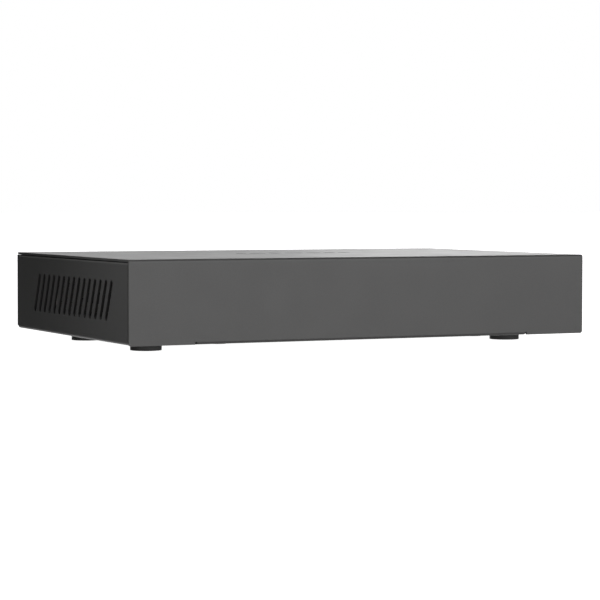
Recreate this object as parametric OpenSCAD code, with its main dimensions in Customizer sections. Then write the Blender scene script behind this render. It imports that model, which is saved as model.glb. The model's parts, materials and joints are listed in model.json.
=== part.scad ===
// Desktop network switch: a folded steel case with eight data ports and the power inlet
// on one long face, vent slots in both short sides and a plain long face opposite the ports.
// Frame: +X along the long faces, +Y from the plain face to the port face, +Z up.
// The origin is on the table, under the middle of the case.

/* [Case] */
// Length of the case along its long faces
case_w = 158; // [156:1:170]
// Depth of the case from the plain face to the port face
case_d = 101; // [101:1:112]
// Height of the case above its feet
case_h = 25.5; // [25.5:0.1:30]
// Thickness of the steel sheet
sheet = 0.7; // [0.7:0.05:0.9]
// Inner radius of the folds of the cover
cover_bend = 0.15; // [0.1:0.05:0.6]
// Inner radius of the folds of the tray
tray_bend = 0.15; // [0.1:0.05:0.4]
// Running gap between the cover and the tray
cover_gap = 0.12; // [0.1:0.01:0.3]

/* [Cover lip] */
// Width of the lip that hooks under the tray
lip_w = 114.6; // [100:0.2:115]
// Depth of the lip from the plain face
lip_depth = 17; // [16:0.5:17]
// Width of the relief notch at each end of the lip
notch_w = 0.6; // [0.4:0.1:1.0]
// Distance between the two cover screws
cover_screw_span = 90; // [70:1:96]

/* [Vents] */
// Number of vent slots in each side
vent_count = 15; // [5:1:15]
// Distance from one vent slot to the next
vent_pitch = 4.6; // [4:0.1:4.8]
// Width of a vent slot
vent_w = 2.0; // [1.2:0.05:2.2]
// Height of a vent slot from tip to tip
vent_h = 12.3; // [8:0.1:13]
// Lean of a vent slot from the vertical, in degrees
vent_lean = 23.4; // [0:0.2:25]
// Middle of the row of vent slots, measured from the plain face
vent_middle = 48.5; // [46:0.5:52]

/* [Feet] */
// Diameter of a rubber foot
foot_d = 9.7; // [8:0.1:10]
// Height of the case above the table
foot_h = 2.9; // [2.5:0.1:5]
// Distance of a front foot's centre from the short side
foot_front_inset = 15; // [13:0.5:15]
// Distance of a back foot's centre from the short side
foot_back_inset = 15.6; // [13:0.1:16]
// Distance of a foot's centre from the long face
foot_inset_y = 23.8; // [23.5:0.1:26]

/* [Ports] */
// Distance from one data port to the next
port_pitch = 13.97; // [13.9:0.01:14.0]
// Width of a port's cavity
port_w = 11.8; // [11.6:0.1:12.0]
// Height of a port's cavity above its latch channel
port_h = 6.9; // [6.8:0.1:7.0]
// Diameter of the power inlet's socket
inlet_bore_d = 6.4; // [6.2:0.1:6.6]
// Diameter of the power inlet's centre pin
inlet_pin_d = 2.1; // [1.9:0.1:2.5]

/* [Hidden] */
$fn = 48;

eps = 0.5;                       // how far a cutter runs past the face that it cuts
half_w = case_w / 2;
half_d = case_d / 2;
cover_fold_r = sheet + cover_bend;
tray_fold_r = sheet + tray_bend;
case_foot = foot_h;              // lower edge of the plain face
case_top = foot_h + case_h;
cover_under = case_top - sheet;
wall_top = cover_under - cover_gap;

// Tray
floor_z = case_foot + 0.2;       // underside of the tray's floor
floor_top = floor_z + sheet;
tray_front = -half_d + sheet + 0.2;
rim_w = 6;                       // how far the rims fold in under the cover
corner_gap = 0.1;                // seam between the port wall and a side wall
rim_end_gap = 0.3;               // seam between the rims of the port wall and a side wall
vent_rise = 12.8;                // middle of the vent slots above the lower edge of the case
stiffener_h = 5;                 // upright strip behind the plain face

// Cover lip and the ledge that it hooks under
lip_end = -half_d + lip_depth;
ledge_under = case_foot + sheet + 0.2;
ledge_top = ledge_under + sheet;
ledge_half = lip_w / 2 + 1.1;
ledge_back = lip_end + 0.4;
lip_corner_r = 2;
edge_corner_r = 0.8;             // rounding of the cover's own sheet corners

// Cover hooks: cranked clips under the back edge of the cover
hook_sheet = 0.6;
hook_w = 14;
hook_x = 50;
hook_lug_top = wall_top - sheet - 0.25;      // just under the rim of the port wall
hook_back = half_d - 2.5;
hook_web = half_d - rim_w - 2.4;
hook_tab = 7;

// Screws
screw_r = 1.5;
wafer_head_r = 3;
wafer_head_h = 0.7;
head_gap = 0.05;                 // play between the lip and a screw head
cover_screw_y = lip_end - 4;
cover_screw_len = 4.3;
collar_r = 2.4;                  // drawn collar round each tapped hole
collar_h = 1.4;
pan_head_r = 2.8;
pan_head_h = 1.8;
cross_w = 0.7;                   // arms of a driver recess
cross_l = 3.2;

// Board and standoffs
standoff_h = 4;
standoff_across = 5.5;
clinch_r = 2.1;
board_t = 1.6;
board_w = case_w - 8;
board_front = -half_d + 10.5;
board_back = half_d - 2.5;
board_z = floor_top + standoff_h;
board_top = board_z + board_t;
board_hole_x = half_w - 9;
board_holes_y = [board_front + 5, board_back - 30];
board_hole_r = screw_r + 0.1;
board_screw_len = 4.5;

// Wall keyholes in the floor
keyhole_span = 80;
keyhole_y = -3;
keyhole_head_r = 3.7;
keyhole_slot_r = 1.9;
keyhole_run = 6.5;

// Data ports: two blocks of four
block_ports = 4;
block_gap = 0.8;
block_end = 0.56;
block_w = block_ports * port_pitch + 2 * block_end;
block_h = 13.4;
block_d = 18;
block_front = half_d - 0.1;
blocks_middle = -8;
block_step = (block_w + block_gap) / 2;
shield_t = 0.25;
cavity_z = 4.6;                  // floor of the plug's cavity above the board
cavity_d = 12.5;
latch_w = 6.2;
latch_h = 1.6;
latch_slot_w = 3.3;
latch_slot_h = 1.1;
lamp_w = 2.4;
lamp_h = 1.3;
lamp_d = 6;
lamp_z = 11.75;
lamp_x = 4.7;
window_gap = 0.2;                // between a connector and the edge of its window
window_foot = board_top - 0.1;
contact_count = 8;
contact_pitch = 1.02;
contact_w = 0.4;
contact_t = 0.3;
contact_root = 1.6;              // where a contact starts, behind the port's face
contact_bend = 3;                // where it leaves the ceiling
contact_end = 10.6;              // where it ends, in front of the cavity's back wall
contact_foot = 1.2;              // its level last stretch
contact_drop = 2.1;              // how far it comes down

// Power inlet, beside the ports
inlet_x = half_w - 15;
inlet_w = 9;
inlet_d = 14.2;
inlet_h = 11;
inlet_bore_z = 6.5;              // middle of the socket above the board
inlet_bore_depth = 10;
inlet_front = half_d - 0.1;
inlet_pin_len = 9;
inlet_pin_head_r = inlet_pin_d / 2 + 1;
inlet_pin_head_t = 0.8;
spring_w = 2.4;
spring_t = 0.4;
spring_front = 1.5;              // how far the strips stay behind the socket's face

// Power lamp, between the ports and the inlet
power_lamp_x = inlet_x - 9;
power_lamp_z = 6.5;
power_lamp_r = 1.5;
power_lamp_front = half_d - 0.1;
power_lamp_dome = 1;             // height of the lamp's rounded end
holder_w = 4.6;
holder_h = 8.6;
holder_d = 5;

// Switch chip, with its pad and heatsink
chip_at = [-8, -9];
chip_size = [20, 20, 1.4];
pad_size = [22, 22, 0.6];
sink_w = 38;
sink_base = 2.2;
sink_h = 11;
fin_count = 10;
fin_t = 1.1;
fin_step = (sink_w - fin_t) / (fin_count - 1);

// Other parts on the board: where their middles are, and their sizes
transformer_size = [9.2, 15.1, 5.6];
transformer_lift = 0.3;
transformer_y = 21.5;
crystal_at = [-42, -12];
crystal_size = [11, 4.6, 3.5];
memory_at = [-42, 2];
memory_size = [3.9, 4.9, 1.5];
memory_lift = 0.1;
regulator_at = [34, -20];
regulator_size = [6.5, 10, 2.3];
inductor_at = [46, -20];
inductor_base = [10, 10, 1];
inductor_r = 4.6;
inductor_h = 3.4;
output_can_at = [60, -20];
input_can_at = [62, 6];
can_rim_h = 1.4;                 // height of a capacitor's rim, below its groove
can_groove = 0.35;               // depth of the groove
can_groove_h = 0.6;
can_lid_drop = 0.4;              // the lid lies this far below the top rim
diode_at = [64, 22];
diode_size = [4.3, 3.6, 2.2];
fuse_at = [55, 16];
fuse_size = [4.5, 3.2, 0.9];

// Small chips in rows
small_cap = [1, 1.8, 0.9];
small_caps_out = 21.5;           // rows of small capacitors, from the middle of the switch chip
small_caps_step = 4;
large_cap = [1.6, 3.2, 1.2];
large_caps_at = [50, -29];
large_caps_step = 3;
resistor = [0.9, 1.6, 0.5];
port_resistors_y = 12;
port_resistors_gap = 3;          // between the two resistors of one port
port_resistors_step = port_pitch + 0.1;
lamp_resistors_at = [-52, 8];
lamp_resistors_step = 2.4;

// ---- helpers ----------------------------------------------------------------------

// Outline in Y and Z, made into a bar from x0 to x1
module along_x(x0, x1) {
    translate([x0, 0, 0]) rotate([90, 0, 90]) linear_extrude(x1 - x0) children();
}

// Outline in X and Z, made into a bar from y0 to y1
module along_y(y0, y1) {
    translate([0, y1, 0]) rotate([90, 0, 0]) linear_extrude(y1 - y0) children();
}

// Box between two corners
module block(low, high) {
    translate(low) cube(high - low);
}

// Quarter ring of a folded sheet, in the first quadrant
module fold(outer_r, t = sheet) {
    intersection() {
        difference() {
            circle(r = outer_r);
            circle(r = outer_r - t);
        }
        square(outer_r);
    }
}

// What a rounded corner leaves out, for a corner at the origin of the first quadrant
module corner_trim(r) {
    difference() {
        translate([-eps, -eps]) square(r + eps);
        translate([r, r]) circle(r = r);
    }
}

module mirrored_x() {
    children();
    mirror([1, 0, 0]) children();
}

// Cross-shaped driver recess, cut upwards from the origin
module driver_cross(depth) {
    for (turn = [0, 90])
        rotate([0, 0, turn]) translate([-cross_l / 2, -cross_w / 2, 0]) cube([cross_l, cross_w, depth]);
}

// Box on the board, with its middle over a point
module on_board(at, size, lift = 0) {
    translate([at.x - size.x / 2, at.y - size.y / 2, board_top + lift]) cube(size);
}

// ---- cover ------------------------------------------------------------------------

module cover_profile() {
    translate([-half_d + cover_fold_r, cover_under]) square([case_d - cover_fold_r, sheet]);
    translate([-half_d + cover_fold_r, case_top - cover_fold_r]) mirror([1, 0]) fold(cover_fold_r);
    translate([-half_d, case_foot]) square([sheet, case_h - cover_fold_r]);
}

module lip_profile() {
    translate([-half_d + cover_fold_r, case_foot + cover_fold_r]) rotate(180) fold(cover_fold_r);
    translate([-half_d + cover_fold_r, case_foot]) square([lip_depth - cover_fold_r, sheet]);
}

// Open slot that lets the lip slide out past a loosened screw
module screw_slot() {
    slot_r = screw_r + 0.2;
    translate([0, cover_screw_y, case_foot - eps]) {
        cylinder(r = slot_r, h = sheet + 2 * eps);
        translate([-slot_r, 0, 0]) cube([2 * slot_r, lip_depth, sheet + 2 * eps]);
    }
}

module lip() {
    difference() {
        along_x(-lip_w / 2, lip_w / 2) lip_profile();
        mirrored_x() {
            translate([cover_screw_span / 2, 0, 0]) screw_slot();
            translate([-lip_w / 2, lip_end, case_foot - eps]) mirror([0, 1, 0])
                linear_extrude(sheet + 2 * eps) corner_trim(lip_corner_r);
        }
    }
}

module top_cover() {
    color("dimgray") {
        difference() {
            along_x(-half_w, half_w) cover_profile();
            block([-lip_w / 2 - notch_w, -half_d - eps, case_foot - eps],
                  [lip_w / 2 + notch_w, -half_d + 2 * sheet, case_foot + cover_fold_r]);
            mirrored_x() {
                along_y(-half_d - eps, -half_d + 2 * sheet)
                    translate([-half_w, case_foot]) corner_trim(edge_corner_r);
                translate([-half_w, half_d, cover_under - eps]) mirror([0, 1, 0])
                    linear_extrude(sheet + 2 * eps) corner_trim(edge_corner_r);
            }
        }
        lip();
    }
}

module hook_profile() {
    translate([hook_web - hook_tab, cover_under - hook_sheet]) square([hook_tab, hook_sheet]);
    translate([hook_web - hook_sheet, hook_lug_top - hook_sheet])
        square([hook_sheet, cover_under - hook_lug_top + hook_sheet]);
    translate([hook_web - hook_sheet, hook_lug_top - hook_sheet])
        square([hook_back - hook_web + hook_sheet, hook_sheet]);
}

module cover_hooks() {
    color("silver") mirrored_x() along_x(hook_x - hook_w / 2, hook_x + hook_w / 2) hook_profile();
}

module cover_screw() {
    under_head = case_foot - head_gap;
    translate([0, 0, under_head]) cylinder(r = screw_r, h = cover_screw_len);
    translate([0, 0, under_head - wafer_head_h]) difference() {
        cylinder(r = wafer_head_r, h = wafer_head_h);
        translate([0, 0, -wafer_head_h / 4]) driver_cross(wafer_head_h);
    }
}

module cover_screws() {
    color("darkgray") mirrored_x() translate([cover_screw_span / 2, cover_screw_y, 0]) cover_screw();
}

// ---- tray -------------------------------------------------------------------------

// A wall with its upper fold and rim, standing on the outer edge at the given half width
module wall_profile(half) {
    translate([half - sheet, floor_z + tray_fold_r])
        square([sheet, wall_top - floor_z - 2 * tray_fold_r]);
    translate([half - tray_fold_r, wall_top - tray_fold_r]) fold(tray_fold_r);
    translate([half - rim_w, wall_top - sheet]) square([rim_w - tray_fold_r, sheet]);
}

// The fold between a wall and the floor
module foot_fold(half) {
    translate([half - tray_fold_r, floor_z + tray_fold_r]) mirror([0, 1]) fold(tray_fold_r);
}

// Vent slot, upright outline about its middle
module vent_slot() {
    straight = vent_h / cos(vent_lean) - vent_w;
    rotate(vent_lean) {
        translate([-vent_w / 2, -straight / 2]) square([vent_w, straight]);
        for (end = [-1, 1]) translate([0, end * straight / 2]) circle(d = vent_w);
    }
}

module vent_row() {
    first_y = vent_middle - half_d - (vent_count - 1) / 2 * vent_pitch;
    for (slot = [0 : vent_count - 1])
        translate([first_y + slot * vent_pitch, case_foot + vent_rise]) vent_slot();
}

module keyhole() {
    translate([0, 0, floor_z - eps]) {
        cylinder(r = keyhole_head_r, h = sheet + 2 * eps);
        translate([0, keyhole_run, 0]) cylinder(r = keyhole_slot_r, h = sheet + 2 * eps);
        translate([-keyhole_slot_r, 0, 0]) cube([2 * keyhole_slot_r, keyhole_run, sheet + 2 * eps]);
    }
}

// Window in the port wall for one block of four ports
module block_window(middle) {
    block([middle - block_w / 2 - window_gap, half_d - 2 * sheet, window_foot],
          [middle + block_w / 2 + window_gap, half_d + eps, board_top + block_h + window_gap]);
}

// Floor, side walls and port wall. The side walls' rims fill the corners of the port wall.
module tray_shell() {
    mirrored_x() {
        along_y(tray_front, half_d) wall_profile(half_w);
        along_y(tray_front, half_d - tray_fold_r) {
            foot_fold(half_w);
            translate([-eps, floor_z]) square([half_w - tray_fold_r + eps, sheet]);
        }
        // square end that closes the side's top fold at the port wall
        block([half_w - sheet, half_d - sheet, wall_top - tray_fold_r - sheet],
              [half_w, half_d, wall_top]);
    }
    corner = half_w - sheet - corner_gap;
    rims_meet = half_w - rim_w - rim_end_gap;
    along_x(-rims_meet, rims_meet) wall_profile(half_d);
    along_x(-corner, corner) {
        foot_fold(half_d);
        translate([half_d - sheet, floor_z + tray_fold_r])
            square([sheet, wall_top - floor_z - 2 * tray_fold_r]);
    }
}

// Raised ledge with the upright strip behind the plain face
module ledge() {
    difference() {
        block([-ledge_half - sheet, tray_front, floor_z],
              [ledge_half + sheet, ledge_back + sheet, ledge_top]);
        block([-ledge_half, tray_front - eps, floor_z - eps], [ledge_half, ledge_back, ledge_under]);
    }
    block([-ledge_half, tray_front, ledge_top],
          [ledge_half, tray_front + sheet, ledge_top + stiffener_h]);
    mirrored_x() translate([cover_screw_span / 2, cover_screw_y, ledge_top])
        cylinder(r = collar_r, h = collar_h);
}

module base_tray() {
    color("dimgray") difference() {
        union() {
            difference() {
                tray_shell();
                block([-ledge_half, tray_front - eps, floor_z - eps],
                      [ledge_half, ledge_back, floor_top + eps]);
            }
            ledge();
        }
        along_x(-half_w - eps, half_w + eps) vent_row();
        for (side = [-1, 1]) block_window(blocks_middle + side * block_step);
        block([inlet_x - inlet_w / 2 - window_gap, half_d - 2 * sheet, window_foot],
              [inlet_x + inlet_w / 2 + window_gap, half_d + eps, board_top + inlet_h + window_gap]);
        translate([power_lamp_x, half_d + eps, board_top + power_lamp_z]) rotate([90, 0, 0])
            cylinder(r = power_lamp_r + 0.1, h = 2 * sheet);
        mirrored_x() {
            translate([cover_screw_span / 2, cover_screw_y, floor_z])
                cylinder(r = screw_r, h = ledge_top + collar_h);
            for (y = board_holes_y)
                translate([board_hole_x, y, floor_z - eps]) cylinder(r = clinch_r, h = sheet + 2 * eps);
            translate([keyhole_span / 2, keyhole_y, 0]) keyhole();
        }
    }
}

module board_standoffs() {
    color("silver") mirrored_x() for (y = board_holes_y)
        translate([board_hole_x, y, floor_z]) difference() {
            union() {
                cylinder(r = clinch_r, h = sheet);
                translate([0, 0, sheet]) cylinder(d = standoff_across / cos(30), h = standoff_h, $fn = 6);
            }
            translate([0, 0, sheet]) cylinder(r = screw_r, h = standoff_h + eps);
        }
}

// Round rubber foot under the tray, with its lower edge rounded
module foot(side, end) {
    foot_r = foot_d / 2;
    edge_r = 0.15;
    inset = end < 0 ? foot_front_inset : foot_back_inset;
    color("black") translate([side * (half_w - inset), end * (half_d - foot_inset_y), 0])
        rotate_extrude() {
            square([foot_r - edge_r, floor_z]);
            translate([0, edge_r]) square([foot_r, floor_z - edge_r]);
            translate([foot_r - edge_r, edge_r]) circle(r = edge_r);
        }
}

// ---- board ------------------------------------------------------------------------

module circuit_board() {
    color("darkgreen") difference() {
        block([-board_w / 2, board_front, board_z], [board_w / 2, board_back, board_top]);
        mirrored_x() for (y = board_holes_y)
            translate([board_hole_x, y, board_z - eps]) cylinder(r = board_hole_r, h = board_t + 2 * eps);
    }
}

module board_screws() {
    color("silver") mirrored_x() for (y = board_holes_y)
        translate([board_hole_x, y, 0]) {
            translate([0, 0, board_top - board_screw_len]) cylinder(r = screw_r, h = board_screw_len);
            translate([0, 0, board_top]) difference() {
                cylinder(r = pan_head_r, h = pan_head_h);
                translate([0, 0, pan_head_h / 2]) driver_cross(pan_head_h);
            }
        }
}

// ---- data ports -------------------------------------------------------------------

function port_x(port) = (port - (block_ports - 1) / 2) * port_pitch;

// Opening of one port, seen from outside, with its latch channel downwards
module port_outline() {
    translate([-port_w / 2, cavity_z]) square([port_w, port_h]);
    translate([-latch_w / 2, cavity_z - latch_h]) square([latch_w, latch_h + eps]);
    translate([-latch_slot_w / 2, cavity_z - latch_h - latch_slot_h])
        square([latch_slot_w, latch_slot_h + eps]);
}

module lamp_outline() {
    for (side = [-1, 1])
        translate([side * lamp_x - lamp_w / 2, lamp_z]) square([lamp_w, lamp_h]);
}

// Places a block of four ports: the origin goes to the middle of its front on the board
module at_block(side) {
    translate([blocks_middle + side * block_step, block_front, board_top]) children();
}

module port_housing(side) {
    inner_w = block_w - 2 * shield_t;
    color("dimgray") at_block(side) difference() {
        block([-inner_w / 2, -block_d + shield_t, 0], [inner_w / 2, -shield_t, block_h - shield_t]);
        for (port = [0 : block_ports - 1]) translate([port_x(port), 0, 0]) {
            along_y(-cavity_d, eps) port_outline();
            along_y(-lamp_d, eps) lamp_outline();
        }
    }
}

module port_shield(side) {
    color("silver") at_block(side) difference() {
        block([-block_w / 2, -block_d, 0], [block_w / 2, 0, block_h]);
        block([-block_w / 2 + shield_t, -block_d + shield_t, -eps],
              [block_w / 2 - shield_t, -shield_t, block_h - shield_t]);
        for (port = [0 : block_ports - 1]) translate([port_x(port), 0, 0]) along_y(-1, eps) {
            port_outline();
            lamp_outline();
        }
    }
}

// One sprung contact: it hangs from the cavity's ceiling and runs down to the back
module contact() {
    ceiling = cavity_z + port_h;
    bottom = ceiling - contact_drop;
    heel = -contact_end + contact_foot;
    along_x(-contact_w / 2, contact_w / 2) polygon([
        [-contact_root, ceiling], [-contact_root, ceiling - contact_t],
        [-contact_bend, ceiling - contact_t], [heel, bottom],
        [-contact_end, bottom], [-contact_end, bottom + contact_t],
        [heel, bottom + contact_t], [-contact_bend, ceiling]
    ]);
}

module port_contacts(side) {
    color("gold") at_block(side)
        for (port = [0 : block_ports - 1]) for (wire = [0 : contact_count - 1])
            translate([port_x(port) + (wire - (contact_count - 1) / 2) * contact_pitch, 0, 0]) contact();
}

module port_lamps(side) {
    color("honeydew") at_block(side)
        for (port = [0 : block_ports - 1]) translate([port_x(port), 0, 0])
            along_y(-lamp_d, 0) lamp_outline();
}

// ---- power inlet and lamp ---------------------------------------------------------

module at_inlet() {
    translate([inlet_x, inlet_front, board_top]) children();
}

// Flat contact strips on both sides of the socket
module spring_strip(side, extra = 0) {
    inner = inlet_bore_d / 2 + 0.1;
    x0 = side > 0 ? inner : -inner - spring_t;
    block([x0, -inlet_d - extra, inlet_bore_z - spring_w / 2],
          [x0 + spring_t, -spring_front, inlet_bore_z + spring_w / 2]);
}

module inlet_housing() {
    color("#202020") at_inlet() difference() {
        block([-inlet_w / 2, -inlet_d, 0], [inlet_w / 2, 0, inlet_h]);
        translate([0, -inlet_bore_depth, inlet_bore_z]) rotate([-90, 0, 0])
            cylinder(d = inlet_bore_d, h = inlet_bore_depth + eps);
        translate([0, -inlet_d - eps, inlet_bore_z]) rotate([-90, 0, 0])
            cylinder(d = inlet_pin_d, h = inlet_d);
        for (side = [-1, 1]) spring_strip(side, eps);
    }
}

module inlet_pin() {
    color("silver") at_inlet() translate([0, -inlet_d, inlet_bore_z]) rotate([-90, 0, 0]) {
        cylinder(d = inlet_pin_d, h = inlet_d - inlet_bore_depth + inlet_pin_len);
        translate([0, 0, -inlet_pin_head_t]) cylinder(r = inlet_pin_head_r, h = inlet_pin_head_t);
    }
}

module inlet_springs() {
    color("silver") at_inlet() for (side = [-1, 1]) spring_strip(side);
}

module power_lamp() {
    color("honeydew") translate([power_lamp_x, power_lamp_front, board_top + power_lamp_z])
        rotate([90, 0, 0]) rotate_extrude() {
            translate([0, power_lamp_dome]) square([power_lamp_r, holder_d - power_lamp_dome]);
            intersection() {
                translate([0, power_lamp_r]) circle(r = power_lamp_r);
                square([power_lamp_r, power_lamp_r]);
            }
        }
}

module power_lamp_holder() {
    back = half_d - sheet - 0.2;
    color("#202020") difference() {
        block([power_lamp_x - holder_w / 2, back - holder_d, board_top],
              [power_lamp_x + holder_w / 2, back, board_top + holder_h]);
        translate([power_lamp_x, back + eps, board_top + power_lamp_z]) rotate([90, 0, 0])
            cylinder(r = power_lamp_r, h = holder_d - sheet + eps);
    }
}

// ---- parts on the board -----------------------------------------------------------

module transformer(number) {
    x = blocks_middle + (number <= block_ports ? -1 : 1) * block_step + port_x((number - 1) % block_ports);
    color("#303030") on_board([x, transformer_y], transformer_size, transformer_lift);
}

module switch_chip() {
    color("#303030") on_board(chip_at, chip_size);
}

module thermal_pad() {
    color("lightsteelblue") on_board(chip_at, pad_size, chip_size.z);
}

module heatsink() {
    lift = board_top + chip_size.z + pad_size.z;
    color("silver") translate([chip_at.x - sink_w / 2, chip_at.y - sink_w / 2, lift]) {
        cube([sink_w, sink_w, sink_base]);
        for (fin = [0 : fin_count - 1]) translate([fin * fin_step, 0, 0]) cube([fin_t, sink_w, sink_h]);
    }
}

// Metal can with round ends, lying across the board
module crystal() {
    can_r = crystal_size.y / 2;
    straight = crystal_size.x - crystal_size.y;
    color("silver") translate([crystal_at.x, crystal_at.y, board_top]) {
        translate([-straight / 2, -can_r, 0]) cube([straight, crystal_size.y, crystal_size.z]);
        for (end = [-1, 1]) translate([end * straight / 2, 0, 0]) cylinder(r = can_r, h = crystal_size.z);
    }
}

module memory_chip() {
    color("#303030") on_board(memory_at, memory_size, memory_lift);
}

module regulator_chip() {
    color("#303030") on_board(regulator_at, regulator_size);
}

module power_inductor() {
    color("#404040") {
        on_board(inductor_at, inductor_base);
        translate([inductor_at.x, inductor_at.y, board_top + inductor_base.z])
            cylinder(r = inductor_r, h = inductor_h);
    }
}

// Upright capacitor can with a groove above its foot and a lid inside its top rim
module can(at, r, h) {
    shoulder = can_rim_h + can_groove_h;
    color("#384058") translate([at.x, at.y, board_top]) rotate_extrude() {
        square([r, can_rim_h]);
        square([r - can_groove, h - can_lid_drop]);
        translate([0, shoulder]) square([r, h - can_lid_drop - shoulder]);
    }
}

module input_capacitor() {
    can(input_can_at, 4, 11.5);
}

module output_capacitor() {
    can(output_can_at, 3.15, 8);
}

module surge_diode() {
    color("#303030") on_board(diode_at, diode_size);
}

module inlet_fuse() {
    color("khaki") on_board(fuse_at, fuse_size);
}

module chip_capacitors() {
    turned = [small_cap.y, small_cap.x, small_cap.z];
    color("tan") {
        for (side = [-1, 1]) for (i = [-3 : 3]) {
            on_board(chip_at + [side * small_caps_out, i * small_caps_step], small_cap);
            on_board(chip_at + [i * small_caps_step, -small_caps_out - turned.y / 2 - side], turned);
        }
        for (i = [0 : 3]) on_board(large_caps_at + [i * large_caps_step, 0], large_cap);
    }
}

module chip_resistors() {
    color("#303030") {
        for (port = [0 : 2 * block_ports - 1]) for (side = [-1, 1]) {
            x = blocks_middle + (port - block_ports + 0.5) * port_resistors_step;
            on_board([x + side * port_resistors_gap / 2, port_resistors_y], resistor);
        }
        for (i = [0 : 4]) on_board(lamp_resistors_at + [i * lamp_resistors_step, 0], resistor);
    }
}

// ---- the whole switch -------------------------------------------------------------

top_cover();
cover_hooks();
cover_screws();
base_tray();
board_standoffs();
foot(-1, -1);  // foot_front_left
foot(1, -1);  // foot_front_right
foot(-1, 1);  // foot_back_left
foot(1, 1);  // foot_back_right
circuit_board();
board_screws();
port_housing(-1);  // port_housing_left
port_housing(1);  // port_housing_right
port_shield(-1);  // port_shield_left
port_shield(1);  // port_shield_right
port_contacts(-1);  // port_contacts_left
port_contacts(1);  // port_contacts_right
port_lamps(-1);  // port_lamps_left
port_lamps(1);  // port_lamps_right
for (number = [1 : 8])
    transformer(number);
switch_chip();
thermal_pad();
heatsink();
crystal();
memory_chip();
regulator_chip();
power_inductor();
input_capacitor();
output_capacitor();
surge_diode();
inlet_fuse();
chip_capacitors();
chip_resistors();
inlet_housing();
inlet_pin();
inlet_springs();
power_lamp();
power_lamp_holder();
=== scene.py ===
"""Looks of the desktop network switch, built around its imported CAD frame. Everything is in metres."""

import json
import math

import bmesh
import bpy
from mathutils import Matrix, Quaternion, Vector


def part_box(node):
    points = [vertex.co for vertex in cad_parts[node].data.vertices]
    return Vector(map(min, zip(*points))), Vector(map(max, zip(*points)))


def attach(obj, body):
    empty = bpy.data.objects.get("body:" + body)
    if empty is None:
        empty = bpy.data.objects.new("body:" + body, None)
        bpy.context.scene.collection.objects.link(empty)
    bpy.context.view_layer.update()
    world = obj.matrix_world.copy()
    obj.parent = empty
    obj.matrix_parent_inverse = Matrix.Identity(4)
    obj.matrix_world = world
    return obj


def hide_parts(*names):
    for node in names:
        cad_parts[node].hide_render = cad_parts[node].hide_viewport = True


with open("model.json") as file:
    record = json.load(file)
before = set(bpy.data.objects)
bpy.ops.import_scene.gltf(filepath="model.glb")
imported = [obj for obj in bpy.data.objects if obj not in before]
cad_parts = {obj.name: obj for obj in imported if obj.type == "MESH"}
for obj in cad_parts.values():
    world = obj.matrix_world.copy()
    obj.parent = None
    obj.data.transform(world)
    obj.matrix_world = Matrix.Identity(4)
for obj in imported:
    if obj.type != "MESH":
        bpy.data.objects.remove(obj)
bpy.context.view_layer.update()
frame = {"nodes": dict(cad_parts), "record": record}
nodes = frame["nodes"]
MM = 0.001
BODY_CASE = "case"
BODY_COVER = "cover"
PORTS = range(1, 9)
CAPACITORS = ("input_capacitor", "output_capacitor")


# ---- camera ---------------------------------------------------------------------------

# A camera fitted to the corners of the case in the photo, with its values rounded.
CAMERA_PLACE = Vector((-311.3, -637.7, 45.9)) * MM
CAMERA_YAW = math.radians(26.134)     # turn of the view to the right of +Y
CAMERA_PITCH = math.radians(2.656)    # tilt of the view below the horizon
CAMERA_ROLL = math.radians(0.09)
CAMERA_LENS = 129.2
CAMERA_SENSOR = 36.0


def add_camera():
    """The studio camera, low and near a front corner, with a long lens."""
    data = bpy.data.cameras.new("studio_camera")
    data.lens = CAMERA_LENS
    data.sensor_width = CAMERA_SENSOR
    data.clip_start = 0.01
    data.clip_end = 50
    camera = bpy.data.objects.new("studio_camera", data)
    bpy.context.scene.collection.objects.link(camera)
    ahead = Vector((
        math.sin(CAMERA_YAW) * math.cos(CAMERA_PITCH),
        math.cos(CAMERA_YAW) * math.cos(CAMERA_PITCH),
        -math.sin(CAMERA_PITCH),
    ))
    camera.location = CAMERA_PLACE
    camera.rotation_mode = "QUATERNION"
    level = ahead.to_track_quat("-Z", "Y")
    camera.rotation_quaternion = level @ Quaternion((0, 0, 1), CAMERA_ROLL)
    bpy.context.scene.camera = camera


# ---- node materials -------------------------------------------------------------------

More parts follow.
